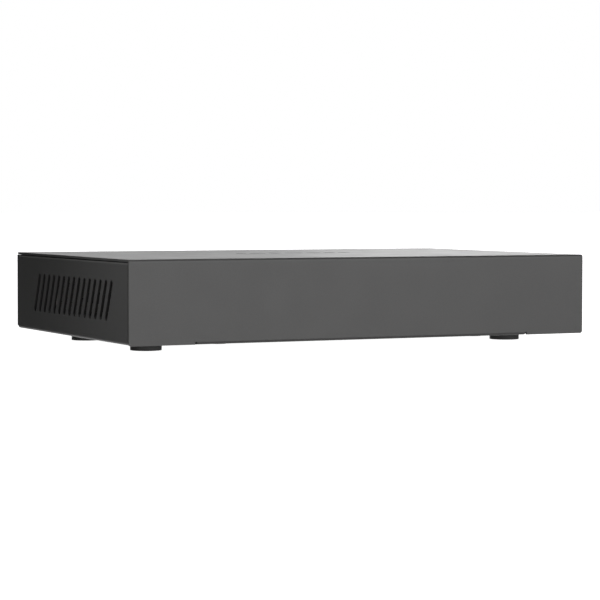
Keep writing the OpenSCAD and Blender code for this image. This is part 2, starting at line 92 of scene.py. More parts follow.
class Paint:
    """One node-based material, with short calls for the nodes that most of them use."""

    def __init__(self, name, base=(0.5, 0.5, 0.5), rough=0.5, metal=0.0, **fixed):
        self.material = bpy.data.materials.new(name)
        self.material.use_nodes = True
        self.tree = self.material.node_tree
        self.shader = self.tree.nodes["Principled BSDF"]
        self.shader.inputs["Base Color"].default_value = (*base, 1)
        self.shader.inputs["Roughness"].default_value = rough
        self.shader.inputs["Metallic"].default_value = metal
        for socket, value in fixed.items():
            self.shader.inputs[socket.replace("_", " ")].default_value = value
        self.place = self.node("ShaderNodeTexCoord").outputs["Object"]

    def node(self, kind, **settings):
        """A new node of this kind, with its settings."""
        made = self.tree.nodes.new(kind)
        for name, value in settings.items():
            setattr(made, name, value)
        return made

    def feed(self, socket, value):
        """Links an output to a socket, or sets the socket to a plain value."""
        if isinstance(value, bpy.types.NodeSocket):
            self.tree.links.new(value, socket)
        elif value is not None:
            socket.default_value = value

    def set(self, name, value):
        """Feeds one of the shader's inputs."""
        self.feed(self.shader.inputs[name], value)

    def stretched(self, x=1.0, y=1.0, z=1.0):
        """The object's own coordinates, scaled along each axis."""
        mapping = self.node("ShaderNodeMapping")
        self.feed(mapping.inputs["Vector"], self.place)
        mapping.inputs["Scale"].default_value = (x, y, z)
        return mapping.outputs["Vector"]

    def noise(self, scale, detail=2.0, rough=0.5, vector=None):
        """Cloudy noise, mostly between 0.3 and 0.7."""
        made = self.node("ShaderNodeTexNoise")
        self.feed(made.inputs["Vector"], self.place if vector is None else vector)
        made.inputs["Scale"].default_value = scale
        made.inputs["Detail"].default_value = detail
        made.inputs["Roughness"].default_value = rough
        return made.outputs["Fac"]

    def cells(self, scale, output="Distance"):
        """Scattered cells: the distance from the nearest cell's middle, or a colour for each cell."""
        made = self.node("ShaderNodeTexVoronoi", feature="F1")
        self.feed(made.inputs["Vector"], self.place)
        made.inputs["Scale"].default_value = scale
        return made.outputs[output]

    def math(self, operation, a, b=None, c=None):
        """One step of arithmetic on outputs and plain numbers."""
        made = self.node("ShaderNodeMath", operation=operation)
        for socket, value in zip(made.inputs, (a, b, c)):
            self.feed(socket, value)
        return made.outputs[0]

    def spread(self, value, low, high, from_low=0.3, from_high=0.7):
        """Maps a value, such as a noise's, to the range from low to high."""
        made = self.node("ShaderNodeMapRange")
        self.feed(made.inputs["Value"], value)
        ends = {"From Min": from_low, "From Max": from_high, "To Min": low, "To Max": high}
        for name, number in ends.items():
            made.inputs[name].default_value = number
        return made.outputs["Result"]

    def mix(self, share, a, b):
        """Colour a where share is 0 and colour b where it is 1."""
        made = self.node("ShaderNodeMix", data_type="RGBA")
        self.feed(made.inputs["Factor"], share)
        for socket, colour in ((made.inputs[6], a), (made.inputs[7], b)):
            self.feed(socket, (*colour, 1) if isinstance(colour, tuple) else colour)
        return made.outputs[2]

    def axes(self, vector=None):
        """The three parts of a vector, or of the object's own coordinates."""
        made = self.node("ShaderNodeSeparateXYZ")
        self.feed(made.inputs[0], self.place if vector is None else vector)
        return made.outputs

    def bump(self, height, distance, strength=1.0, over=None):
        """Gives the surface a relief, on its own or over an earlier one."""
        made = self.node("ShaderNodeBump")
        self.feed(made.inputs["Height"], height)
        made.inputs["Strength"].default_value = strength
        made.inputs["Distance"].default_value = distance
        if over is not None:
            self.feed(made.inputs["Normal"], over)
        self.set("Normal", made.outputs["Normal"])
        return made.outputs["Normal"]


def powder_coat():
    """Dark grey powder coat: a fine even grain with a faint mottle under it."""
    paint = Paint("powder_coat", rough=0.42)
    grain = paint.noise(2600, detail=3, rough=0.6)
    mottle = paint.noise(95, detail=3)
    blend = paint.math("MULTIPLY_ADD", grain, 0.7, paint.math("MULTIPLY", mottle, 0.3))
    shade = paint.spread(blend, 0, 1, 0.35, 0.65)
    paint.set("Base Color", paint.mix(shade, (0.090, 0.0895, 0.0885), (0.098, 0.0975, 0.0965)))
    paint.set("Roughness", paint.spread(mottle, 0.40, 0.45))
    peel = paint.bump(paint.noise(420, detail=2), 0.00002, 0.35)
    paint.bump(grain, 0.00001, 0.45, over=peel)
    return paint


def plated(name, light, dark, rough, spangle=900):
    """Plated steel: faint crystals in the plating, and fine rolling marks."""
    paint = Paint(name, rough=rough, metal=1.0)
    crystal = paint.axes(paint.cells(spangle, output="Color"))[0]
    stain = paint.noise(160, detail=4)
    blend = paint.math("MULTIPLY_ADD", crystal, 0.45, paint.math("MULTIPLY", stain, 0.55))
    paint.set("Base Color", paint.mix(paint.spread(blend, 0, 1, 0.25, 0.75), dark, light))
    paint.set("Roughness", paint.spread(blend, rough * 1.2, rough * 0.85))
    marks = paint.noise(700, detail=2, vector=paint.stretched(1, 0.06, 1))
    paint.bump(marks, 0.00001, 0.25)
    return paint


def brushed(name, light, dark, rough, along):
    """Drawn or rolled metal, with fine lines along one axis."""
    paint = Paint(name, rough=rough, metal=1.0)
    stretch = [0.03 if axis == along else 1.0 for axis in range(3)]
    lines = paint.noise(1900, detail=3, vector=paint.stretched(*stretch))
    stain = paint.noise(120, detail=3)
    paint.set("Base Color", paint.mix(paint.spread(stain, 0, 1), dark, light))
    paint.set("Roughness", paint.spread(lines, rough * 0.8, rough * 1.25))
    paint.bump(lines, 0.000015, 0.4)
    return paint


def moulded(name, light, dark, rough, grain=1800, depth=0.000008, coat=0.0):
    """Moulded plastic, epoxy or ceramic: a fine speckle, a soft mottle and a pitted skin."""
    paint = Paint(name, rough=rough, Coat_Weight=coat, Coat_Roughness=0.25)
    speckle = paint.noise(grain, detail=4, rough=0.7)
    mottle = paint.noise(grain / 14, detail=2)
    blend = paint.math("MULTIPLY_ADD", speckle, 0.6, paint.math("MULTIPLY", mottle, 0.4))
    paint.set("Base Color", paint.mix(paint.spread(blend, 0, 1, 0.35, 0.65), dark, light))
    paint.set("Roughness", paint.spread(mottle, rough * 0.9, rough * 1.1))
    paint.bump(speckle, depth, 0.6)
    return paint


def foot_rubber():
    """Matte black rubber, a little dusty in patches."""
    paint = Paint("foot_rubber", rough=0.7, Sheen_Weight=0.15)
    dust = paint.noise(380, detail=5, rough=0.7)
    dusty = paint.spread(dust, 0, 1, 0.52, 0.72)
    paint.set("Base Color", paint.mix(dusty, (0.095, 0.095, 0.095), (0.135, 0.134, 0.128)))
    paint.set("Roughness", paint.spread(dust, 0.62, 0.8))
    paint.bump(paint.noise(2400, detail=3), 0.00002, 0.5)
    return paint


def solder_mask():
    """Green solder mask over copper: a woven ground, vias with a painted shade dot for each hole, and a tan
    laminate at the board's edges.
    """
    paint = Paint("solder_mask", rough=0.32, Coat_Weight=0.35, Coat_Roughness=0.15)
    weave_scale, via_scale, via_r, hole_shade_r = 9000, 430, 0.17, 0.075
    upright = paint.axes(paint.node("ShaderNodeNewGeometry").outputs["Normal"])[2]
    edge = paint.math("LESS_THAN", paint.math("ABSOLUTE", upright), 0.5)
    x, y = paint.axes()[:2]
    warp = paint.math("SINE", paint.math("MULTIPLY", x, weave_scale))
    weft = paint.math("SINE", paint.math("MULTIPLY", y, weave_scale))
    weave = paint.math("MULTIPLY", warp, weft)
    cloud = paint.noise(60, detail=4)
    mask = paint.mix(paint.spread(cloud, 0, 1), (0.008, 0.095, 0.040), (0.014, 0.135, 0.058))
    mask = paint.mix(paint.spread(weave, 0, 0.22, -1, 1), mask, (0.03, 0.19, 0.09))
    centre = paint.cells(via_scale)
    keep = paint.math("GREATER_THAN", paint.axes(paint.cells(via_scale, output="Color"))[1], 0.72)
    via = paint.math("MULTIPLY", paint.math("LESS_THAN", centre, via_r), keep)
    # A near-black dot in the middle of each via is painted shade where a drilled hole would be; no hole is
    # cut.
    hole_shade = paint.math("MULTIPLY", paint.math("LESS_THAN", centre, hole_shade_r), keep)
    top = paint.mix(via, mask, (0.045, 0.24, 0.11))
    # Paints the via holes' shade in near black over the mask.
    top = paint.mix(hole_shade, top, (0.003, 0.02, 0.01))
    fibre = paint.noise(2200, detail=2, vector=paint.stretched(0.15, 0.15, 1))
    laminate = paint.mix(paint.spread(fibre, 0, 1), (0.30, 0.24, 0.10), (0.46, 0.40, 0.20))
    paint.set("Base Color", paint.mix(edge, top, laminate))
    paint.set("Roughness", paint.math("MULTIPLY_ADD", edge, 0.4, paint.spread(cloud, 0.28, 0.36)))
    ground = paint.bump(weave, 0.000004, 0.3)
    paint.bump(paint.math("SUBTRACT", via, hole_shade), 0.00002, 0.5, over=ground)
    return paint


def lamp_lens():
    """Milky clear lens of an unlit lamp."""
    paint = Paint("lamp_lens", rough=0.22, IOR=1.5, Subsurface_Weight=0.35, Subsurface_Scale=0.001,
                  Coat_Weight=0.4, Coat_Roughness=0.08)
    cloud = paint.noise(700, detail=3)
    paint.set("Base Color", paint.mix(paint.spread(cloud, 0, 1), (0.56, 0.66, 0.54), (0.74, 0.80, 0.70)))
    paint.set("Roughness", paint.spread(cloud, 0.18, 0.28))
    paint.bump(paint.noise(1500), 0.000006, 0.4)
    return paint


def gap_pad():
    """Soft silicone pad with glass specks."""
    paint = Paint("gap_pad", rough=0.65)
    speck = paint.cells(2300)
    bright = paint.spread(speck, 1, 0, 0.05, 0.25)
    paint.set("Base Color", paint.mix(bright, (0.30, 0.42, 0.50), (0.52, 0.60, 0.64)))
    paint.set("Roughness", paint.spread(paint.noise(900), 0.58, 0.72))
    paint.bump(speck, 0.00001, 0.4)
    return paint


def capacitor_sleeve():
    """Dark shrink sleeve, with the pale stripe that marks each capacitor's negative side."""
    paint = Paint("capacitor_sleeve", rough=0.3, Coat_Weight=0.3, Coat_Roughness=0.2)
    x, y, z = paint.axes()
    stripe = None
    for name in CAPACITORS:
        low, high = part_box(name)
        across = paint.math("ABSOLUTE", paint.math("SUBTRACT", y, (low.y + high.y) / 2))
        on_stripe = paint.math("LESS_THAN", across, (high.y - low.y) * 0.17)
        on_side = paint.math("LESS_THAN", x, (low.x + high.x) / 2)
        near = paint.math("GREATER_THAN", x, low.x - 0.5 * MM)
        in_height = paint.math("GREATER_THAN", z, low.z + 2.4 * MM)
        band = paint.math("MULTIPLY", paint.math("MULTIPLY", on_stripe, on_side),
                          paint.math("MULTIPLY", near, in_height))
        y_near = paint.math("LESS_THAN", across, high.y - low.y)
        band = paint.math("MULTIPLY", band, y_near)
        stripe = band if stripe is None else paint.math("MAXIMUM", stripe, band)
    grain = paint.noise(500, detail=3)
    ground = paint.mix(paint.spread(grain, 0, 1), (0.012, 0.016, 0.045), (0.022, 0.028, 0.07))
    paint.set("Base Color", paint.mix(stripe, ground, (0.52, 0.54, 0.58)))
    paint.set("Roughness", paint.spread(grain, 0.26, 0.36))
    paint.bump(paint.noise(260, detail=2), 0.00002, 0.3)
    return paint


def winding_copper():
    """Enamelled copper wire."""
    paint = Paint("winding_copper", rough=0.25, metal=1.0, Coat_Weight=0.6, Coat_Roughness=0.1)
    tone = paint.noise(800, detail=3)
    paint.set("Base Color", paint.mix(paint.spread(tone, 0, 1), (0.52, 0.20, 0.09), (0.74, 0.34, 0.17)))
    paint.set("Roughness", paint.spread(tone, 0.2, 0.34))
    paint.bump(paint.noise(2000), 0.000005, 0.3)
    return paint


def printed(name, light, dark, rough=0.55, gloss=0.5):
    """Screen-printed ink, a little thin in places."""
    paint = Paint(name, rough=rough, Specular_IOR_Level=gloss)
    cover = paint.noise(1600, detail=4, rough=0.7)
    paint.set("Base Color", paint.mix(paint.spread(cover, 0, 1, 0.3, 0.55), dark, light))
    paint.set("Roughness", paint.spread(cover, rough * 0.9, rough * 1.1))
    paint.bump(cover, 0.000003, 0.5)
    return paint


def all_materials():
    """The material of each slot that the record names."""
    return {
        "case_paint": powder_coat(),
        "bright_zinc": plated("bright_zinc", (0.70, 0.71, 0.70), (0.52, 0.54, 0.56), 0.32),
        "black_zinc": plated("black_zinc", (0.055, 0.055, 0.06), (0.03, 0.03, 0.032), 0.4, spangle=1500),
        "foot_rubber": foot_rubber(),
        "board_green": solder_mask(),
        "port_plastic": moulded("port_plastic", (0.020, 0.020, 0.021), (0.013, 0.013, 0.014), 0.45),
        "shield_tin": brushed("shield_tin", (0.74, 0.73, 0.70), (0.60, 0.59, 0.56), 0.3, along=0),
        "contact_gold": brushed("contact_gold", (0.95, 0.70, 0.30), (0.86, 0.58, 0.20), 0.22, along=1),
        "lamp_lens": lamp_lens(),
        "chip_epoxy": moulded("chip_epoxy", (0.030, 0.030, 0.032), (0.018, 0.018, 0.019), 0.55, 2600),
        "transformer_epoxy": moulded("transformer_epoxy", (0.026, 0.026, 0.029), (0.014, 0.014, 0.016), 0.4,
                                     1500, coat=0.15),
        "gap_pad": gap_pad(),
        "sink_aluminium": brushed("sink_aluminium", (0.72, 0.73, 0.75), (0.58, 0.59, 0.61), 0.34, along=1),
        "crystal_can": brushed("crystal_can", (0.78, 0.77, 0.74), (0.66, 0.65, 0.62), 0.24, along=0),
        "ferrite_grey": moulded("ferrite_grey", (0.085, 0.085, 0.088), (0.045, 0.045, 0.048), 0.6, 2200,
                                depth=0.00002),
        "capacitor_sleeve": capacitor_sleeve(),
        "fuse_body": moulded("fuse_body", (0.42, 0.42, 0.22), (0.30, 0.31, 0.15), 0.5),
        "capacitor_ceramic": moulded("capacitor_ceramic", (0.36, 0.25, 0.14), (0.27, 0.18, 0.10), 0.45,
                                     3000),
        "resistor_film": moulded("resistor_film", (0.022, 0.022, 0.026), (0.012, 0.012, 0.015), 0.28, 3000,
                                 coat=0.3),
        "lead_tin": plated("lead_tin", (0.74, 0.73, 0.71), (0.58, 0.58, 0.57), 0.34, spangle=2600),
        "winding_copper": winding_copper(),
        "mark_ink": printed("mark_ink", (0.04, 0.04, 0.04), (0.03, 0.03, 0.03), rough=0.7, gloss=0.3),
        "print_ink": printed("print_ink", (0.62, 0.62, 0.61), (0.48, 0.48, 0.47)),
        "board_print": printed("board_print", (0.72, 0.74, 0.70), (0.48, 0.56, 0.48)),
    }


# ---- building small pieces ------------------------------------------------------------

UP = Vector((0, 0, 1))
X_AXIS = Vector((1, 0, 0))
Y_AXIS = Vector((0, 1, 0))


def thickened(path, width):
    """The outline of a flat strip of an even width, with its middle line on a 2-D path."""
    sharpest = 0.3                    # keeps the outer corner of a sharp turn from reaching far out
    left, right = [], []
    for i, point in enumerate(path):
        before = (Vector(point) - Vector(path[i - 1])).normalized() if i > 0 else None
        after = (Vector(path[i + 1]) - Vector(point)).normalized() if i + 1 < len(path) else None
        before = before or after
        after = after or before
        middle = (before + after).normalized()
        reach = width / 2 / max(middle.dot(before), sharpest)
        side = Vector((-middle.y, middle.x)) * reach
        left.append(Vector(point) + side)
        right.append(Vector(point) - side)
    return left + right[::-1]


def rounded_bar(length, width, steps=6):
    """The outline of a bar with round ends, about its middle."""
    r = width / 2
    outline = []
    for end, start in ((1, -90), (-1, 90)):
        for step in range(steps + 1):
            turn = math.radians(start + 180 * step / steps)
            outline.append(Vector((end * (length / 2 - r) + r * math.cos(turn), r * math.sin(turn))))
    return outline


class Shape:
    """Closed solids, gathered into one mesh."""

    def __init__(self):
        self.mesh = bmesh.new()

    def prism(self, outline, origin, across, along, depth):
        """A 2-D outline on the plane of two axes through a place, drawn out by a depth vector."""
        flat = [Vector(origin) + across * p[0] + along * p[1] for p in outline]
        near = [self.mesh.verts.new(p) for p in flat]
        far = [self.mesh.verts.new(p + depth) for p in flat]
        self.mesh.faces.new(near[::-1])
        self.mesh.faces.new(far)
        for i in range(len(flat)):
            j = (i + 1) % len(flat)
            self.mesh.faces.new((near[i], near[j], far[j], far[i]))

    def box(self, low, high):
        """A block between two corners."""
        size = Vector(high) - Vector(low)
        self.prism(((0, 0), (size.x, 0), (size.x, size.y), (0, size.y)), low, X_AXIS, Y_AXIS, UP * size.z)

    def frame(self, low, high, width, height):
        """A flat rectangular frame, lying at the level of its lower corner."""
        x0, y0, z = low
        x1, y1 = high[0], high[1]
        self.box((x0, y0, z), (x1, y0 + width, z + height))
        self.box((x0, y1 - width, z), (x1, y1, z + height))
        self.box((x0, y0 + width, z), (x0 + width, y1 - width, z + height))
        self.box((x1 - width, y0 + width, z), (x1, y1 - width, z + height))

    def turned(self, profile, centre, closed=False, steps=40):
        """A profile of radii and heights, turned about an upright line. A closed profile makes a ring."""
        rings = []
        for r, z in profile:
            if r == 0:
                rings.append([self.mesh.verts.new(Vector(centre) + UP * z)] * steps)
                continue
            ring = []
            for step in range(steps):
                turn = 2 * math.pi * step / steps
                ring.append(self.mesh.verts.new(
                    Vector(centre) + Vector((r * math.cos(turn), r * math.sin(turn), z))))
            rings.append(ring)
        pairs = list(zip(rings, rings[1:])) + ([(rings[-1], rings[0])] if closed else [])
        for lower, upper in pairs:
            for i in range(steps):
                j = (i + 1) % steps
                corners = []
                for vert in (lower[i], lower[j], upper[j], upper[i]):
                    if vert not in corners:
                        corners.append(vert)
                if len(corners) > 2:
                    self.mesh.faces.new(corners)

    def piece(self, name, slot, body=BODY_CASE, bevel=0.0, smooth=35):
        """Makes the object, with its material, slot and body."""
        bmesh.ops.recalc_face_normals(self.mesh, faces=self.mesh.faces)
        for face in self.mesh.faces:
            face.smooth = True
        for edge in self.mesh.edges:
            edge.smooth = edge.is_manifold and edge.calc_face_angle() < math.radians(smooth)
        data = bpy.data.meshes.new(name)
        self.mesh.to_mesh(data)
        self.mesh.free()
        data.materials.append(materials[slot].material)
        made = bpy.data.objects.new(name, data)
        bpy.context.scene.collection.objects.link(made)
        if bevel:
            soften(made, bevel)
        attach(made, body)
        return made


def soften(piece, width):
    """Rounds a piece's sharp edges a little, so that they catch the light."""
    bevel = piece.modifiers.new("soft_edges", "BEVEL")
    bevel.width = width
    bevel.segments = 2
    bevel.limit_method = "ANGLE"
    bevel.angle_limit = math.radians(40)
    bevel.harden_normals = True


def solids(name):
    """The lowest and highest corner of each separate solid in a CAD node."""
    mesh = bmesh.new()
    mesh.from_mesh(nodes[name].data)
    bmesh.ops.remove_doubles(mesh, verts=mesh.verts, dist=1e-7)
    left = set(mesh.verts)
    boxes = []
    while left:
        group = [left.pop()]
        for vert in group:
            for edge in vert.link_edges:
                other = edge.other_vert(vert)
                if other in left:
                    left.remove(other)
                    group.append(other)
        boxes.append(tuple(Vector([pick(v.co[axis] for v in group) for axis in range(3)])
                           for pick in (min, max)))
    mesh.free()
    return sorted(boxes, key=lambda box: tuple(round(c, 5) for c in box[0]))


# ---- leads, caps and solder -----------------------------------------------------------

LEAD_T = 0.2 * MM
TRANSFORMER_PITCH = 1.2 * MM          # from lead to lead
FILM = 0.03 * MM                      # height of copper, pads and print above the board
board_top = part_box("circuit_board")[1].z


def port_middles():
    """The middle of each data port along X, from the transformers that stand behind the ports."""
    middles = []
    for number in PORTS:
        low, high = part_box(f"transformer_{number}")
        middles.append((low.x + high.x) / 2)
    return middles


def add_leads(shape, name, count, pitch, width, reach, across=X_AXIS):
    """Gull-wing leads, and their pads, along the two sides of a chip that face along an axis."""
    low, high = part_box(name)
    middle = (low + high) / 2
    half = (high - low).dot(across) / 2
    along = Vector((abs(across.y), abs(across.x), 0))
    exit_z = (high.z - board_top) * 0.45
    foot_z = FILM + LEAD_T / 2
    path = ((-0.1 * MM, exit_z), (0.3 * reach, exit_z), (0.55 * reach, foot_z), (reach, foot_z))
    outline = thickened(path, LEAD_T)
    for side in (-1, 1):
        for i in range(count):
            place = middle + across * side * half + along * (i - (count - 1) / 2) * pitch
            place.z = board_top
            shape.prism(outline, place - along * width / 2, across * side, UP, along * width)
            pad = ((0.4 * reach, -width * 0.7), (1.25 * reach, -width * 0.7),
                   (1.25 * reach, width * 0.7), (0.4 * reach, width * 0.7))
            shape.prism(pad, place, across * side, along, UP * FILM)


def add_transformer_leads():
    """Twelve leads on each side of every transformer."""
    shape = Shape()
    for number in PORTS:
        add_leads(shape, f"transformer_{number}", 12, TRANSFORMER_PITCH, 0.45 * MM, 1.3 * MM)
    shape.piece("transformer_leads", "lead_tin")


def add_chip_leads():
    """Leads on four sides of the switch chip, and on two of the memory chip and the surge diode."""
    shape = Shape()
    for across in (X_AXIS, Y_AXIS):
        add_leads(shape, "switch_chip", 32, 0.5 * MM, 0.22 * MM, 1.0 * MM, across)
    shape.piece("switch_chip_leads", "lead_tin")
    shape = Shape()
    add_leads(shape, "memory_chip", 4, 1.27 * MM, 0.42 * MM, 1.0 * MM)
    shape.piece("memory_chip_leads", "lead_tin")
    shape = Shape()
    add_leads(shape, "surge_diode", 1, 0, 2.2 * MM, 1.1 * MM)
    shape.piece("surge_diode_leads", "lead_tin")


def add_regulator_leads():
    """Two leads at one end of the regulator, and its wide cooling tab at the other."""
    low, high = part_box("regulator_chip")
    middle = (low + high) / 2
    shape = Shape()
    tab_w, tab_in, tab_out, tab_t = 5.4 * MM, 1 * MM, 1.4 * MM, 0.5 * MM
    shape.box((middle.x - tab_w / 2, high.y - tab_in, board_top + FILM),
              (middle.x + tab_w / 2, high.y + tab_out, board_top + FILM + tab_t))
    shape.box((middle.x - tab_w / 2 - 0.3 * MM, high.y - tab_in, board_top),
              (middle.x + tab_w / 2 + 0.3 * MM, high.y + tab_out + 0.5 * MM, board_top + FILM))
    exit_z, lead_pitch = 1.0 * MM, 4.56 * MM
    path = ((-0.5 * MM, exit_z), (0.9 * MM, exit_z), (1.5 * MM, 0.3 * MM), (2.8 * MM, 0.3 * MM))
    outline = thickened(path, 0.5 * MM)
    lead_w = 0.8 * MM
    for side in (-1, 1):
        place = Vector((middle.x + side * lead_pitch / 2 - lead_w / 2, low.y, board_top))
        shape.prism(outline, place, -Y_AXIS, UP, X_AXIS * lead_w)
    shape.piece("regulator_leads", "lead_tin", bevel=0.05 * MM)


def add_end_caps(name, share):
    """Tinned caps over both ends of each small chip in a node, a little proud of the chip."""
    shape = Shape()
    proud = 0.025 * MM
    for low, high in solids(name):
        size = high - low
        long_axis = 0 if size.x > size.y else 1
        cap = size[long_axis] * share
        for end in (0, 1):
            start = low - Vector((proud, proud, 0))
            stop = high + Vector((proud, proud, proud))
            if end:
                start[long_axis] = high[long_axis] - cap
            else:
                stop[long_axis] = low[long_axis] + cap
            shape.box(start, stop)
            pad_low, pad_high = start.copy(), stop.copy()
            pad_low[long_axis] -= cap * (1 - end)
            pad_high[long_axis] += cap * end
            pad_low.z = board_top
            pad_high.z = board_top + FILM
            shape.box(pad_low, pad_high)
    shape.piece(name + "_ends", "lead_tin", bevel=0.03 * MM)


def add_capacitor_lid(name):
    """The bare lid inside a capacitor's sleeve, domed, with three scored lines that meet on it."""
    low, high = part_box(name)
    centre = ((low.x + high.x) / 2, (low.y + high.y) / 2, high.z)
    r = (high.x - low.x) / 2 - 0.55 * MM
    rise = 0.12 * MM
    shape = Shape()
    profile = [(0, -0.2 * MM), (r, -0.2 * MM)]
    steps = 8
    for step in range(steps):
        share = step / steps
        profile.append((r * (1 - share), rise * math.sin(share * math.pi / 2)))
    profile.append((0, rise))
    shape.turned(profile, centre)
    shape.piece(name + "_lid", "sink_aluminium")
    score = Shape()
    for turn in (0, 1, 2):
        outline = thickened(((0, 0), (r * 0.85, 0)), 0.22 * MM)
        angle = math.radians(120 * turn + 30)
        across = Vector((math.cos(angle), math.sin(angle), 0))
        along = Vector((-math.sin(angle), math.cos(angle), 0))
        score.prism(outline, Vector(centre) - UP * 0.05 * MM, across, along, UP * (rise + 0.06 * MM))
    score.piece(name + "_vent", "lead_tin", bevel=0.03 * MM)


def add_inductor():
    """Drum-core inductor: a square foot, a waist wound with copper, and a round top flange."""
    low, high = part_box("power_inductor")
    centre = Vector(((low.x + high.x) / 2, (low.y + high.y) / 2, low.z))
    height = high.z - low.z
    half = (high.x - low.x) / 2
    foot_h, flange_h, waist_r, flange_r = 1.0 * MM, 0.8 * MM, 2.6 * MM, 4.6 * MM
    core = Shape()
    cut = 1.2 * MM
    outline = []
    for sx, sy in ((1, -1), (1, 1), (-1, 1), (-1, -1)):
        first, second = (sx * half, sy * (half - cut)), (sx * (half - cut), sy * half)
        outline += [first, second] if sx * sy > 0 else [second, first]
    core.prism(outline, centre, X_AXIS, Y_AXIS, UP * foot_h)
    core.turned([(0, foot_h * 0.5), (waist_r, foot_h * 0.5), (waist_r, height - flange_h),
                 (flange_r, height - flange_h), (flange_r, height), (0, height)], centre)
    made = core.piece("inductor_core", "ferrite_grey", bevel=0.12 * MM)
    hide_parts("power_inductor")
    winding = Shape()
    wire_r = 0.26 * MM
    room = height - flange_h - foot_h
    turns = int(room / (2 * wire_r))
    for layer in range(3):
        for turn in range(turns - layer % 2):
            z = foot_h + wire_r * (1 + layer % 2) + turn * 2 * wire_r
            r = waist_r + wire_r + layer * wire_r * 1.75
            section = []
            for step in range(10):
                angle = 2 * math.pi * step / 10
                section.append((r + wire_r * math.cos(angle), z + wire_r * math.sin(angle)))
            winding.turned(section, centre, closed=True, steps=48)
    winding.piece("inductor_winding", "winding_copper")


# ---- copper and print on the board ----------------------------------------------------

def add_traces():
    """Pairs of copper traces, under the mask, from each transformer to the switch chip."""
    shape = Shape()
    sink_low, sink_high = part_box("heatsink")
    lane_step, trace_w, corner = 0.4 * MM, 0.2 * MM, 1.0 * MM
    lanes = {-1: 0, 1: 0}
    under_sink = 3 * MM
    start_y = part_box("transformer_1")[0].y + 1.5 * MM
    first_lane = sink_high.y - 0.6 * MM
    sink_middle = (sink_low.x + sink_high.x) / 2
    for x_port in sorted(port_middles(), key=lambda x: abs(x - sink_middle)):
        side = 1 if x_port > sink_middle else -1
        starts = (x_port + lead * TRANSFORMER_PITCH + pair * lane_step
                  for lead in (-2.2, 2.2) for pair in (-1, 1))
        for x in sorted(starts, key=lambda x: abs(x - sink_middle)):
            if sink_low.x < x < sink_high.x:
                path = ((x, start_y), (x, first_lane - under_sink))
            else:
                y = first_lane - lanes[side] * lane_step
                lanes[side] += 1
                edge = (sink_high.x if side > 0 else sink_low.x) - side * under_sink
                path = ((x, start_y), (x, y + corner), (x - side * corner, y), (edge, y))
            shape.prism(thickened(path, trace_w), (0, 0, board_top), X_AXIS, Y_AXIS, UP * FILM)
    shape.piece("board_traces", "board_green")


def add_board_print():
    """White outlines round the parts on the board, with a dot at each chip's first lead."""
    shape = Shape()
    line, dot_r = 0.15 * MM, 0.3 * MM
    margins = {"switch_chip": 1.8, "memory_chip": 1.6, "regulator_chip": 1.0, "power_inductor": 0.7,
               "crystal": 0.6, "surge_diode": 1.6, "inlet_fuse": 1.3}
    for number in PORTS:
        margins[f"transformer_{number}"] = 1.9
    for name, margin in margins.items():
        low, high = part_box(name)
        gap = margin * MM
        end_gap = min(gap, 0.8 * MM)
        shape.frame((low.x - gap, low.y - end_gap, board_top), (high.x + gap, high.y + end_gap), line, FILM)
        shape.turned([(0, 0), (dot_r, 0), (dot_r, FILM), (0, FILM)],
                     (low.x - gap + 0.7 * MM, low.y - end_gap - 0.6 * MM, board_top), steps=16)
    for name in CAPACITORS:
        low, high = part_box(name)
        r = (high.x - low.x) / 2 + 0.5 * MM
        ring = [(r, 0), (r + line, 0), (r + line, FILM), (r, FILM)]
        shape.turned(ring, ((low.x + high.x) / 2, (low.y + high.y) / 2, board_top), closed=True)
    shape.piece("board_outlines", "board_print")


def add_screw_pads():
    """Bare tinned rings under the heads of the board's screws."""
    hole_r, pad_r = 1.75 * MM, 3.6 * MM
    ring = [(hole_r, 0), (pad_r, 0), (pad_r, FILM), (hole_r, FILM)]
    shape = Shape()
    for low, high in solids("board_screws"):
        shape.turned(ring, ((low.x + high.x) / 2, (low.y + high.y) / 2, board_top), closed=True)
    shape.piece("board_screw_pads", "lead_tin")


# ---- ports ----------------------------------------------------------------------------

def add_shield_springs():
    """Ground springs bent from the shield's front into both sides of each port."""
    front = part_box("port_shield_left")[1].y
    half_port, spring_h, sheet = 5.9 * MM, 3.2 * MM, 0.2 * MM
    height = board_top + 6.3 * MM
    path = ((0.1 * MM, -0.05 * MM), (0.35 * MM, 0.12 * MM), (1.6 * MM, 0.3 * MM),
            (4.2 * MM, 0.62 * MM), (6.6 * MM, 0.4 * MM), (7.6 * MM, 0.16 * MM))
    outline = thickened(path, sheet)
    shape = Shape()
    for x in port_middles():
        for side in (-1, 1):
            place = Vector((x + side * half_port, front, height))
            shape.prism(outline, place, -Y_AXIS, -X_AXIS * side, UP * spring_h)
    shape.piece("port_ground_springs", "shield_tin")


def add_shield_folds():
    """Folded joints at the ends of the shields, and a pressed rib over each port."""
    proud, sunk = 0.06 * MM, 0.05 * MM
    rib = rounded_bar(8 * MM, 1.0 * MM)
    shape = Shape()
    for name in ("port_shield_left", "port_shield_right"):
        low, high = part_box(name)
        for x in port_middles():
            if low.x < x < high.x:
                shape.prism(rib, (x, high.y - 4 * MM, high.z - sunk), X_AXIS, Y_AXIS, UP * (proud + sunk))
        for x, side in ((low.x, -1), (high.x, 1)):
            x0, x1 = sorted((x - side * sunk, x + side * proud))
            shape.box((x0, low.y + 1 * MM, board_top + 2 * MM), (x1, low.y + 6 * MM, board_top + 9 * MM))
    shape.piece("port_shield_ribs", "shield_tin", bevel=0.03 * MM)


INK = 0.012 * MM                      # height of print above the sheet
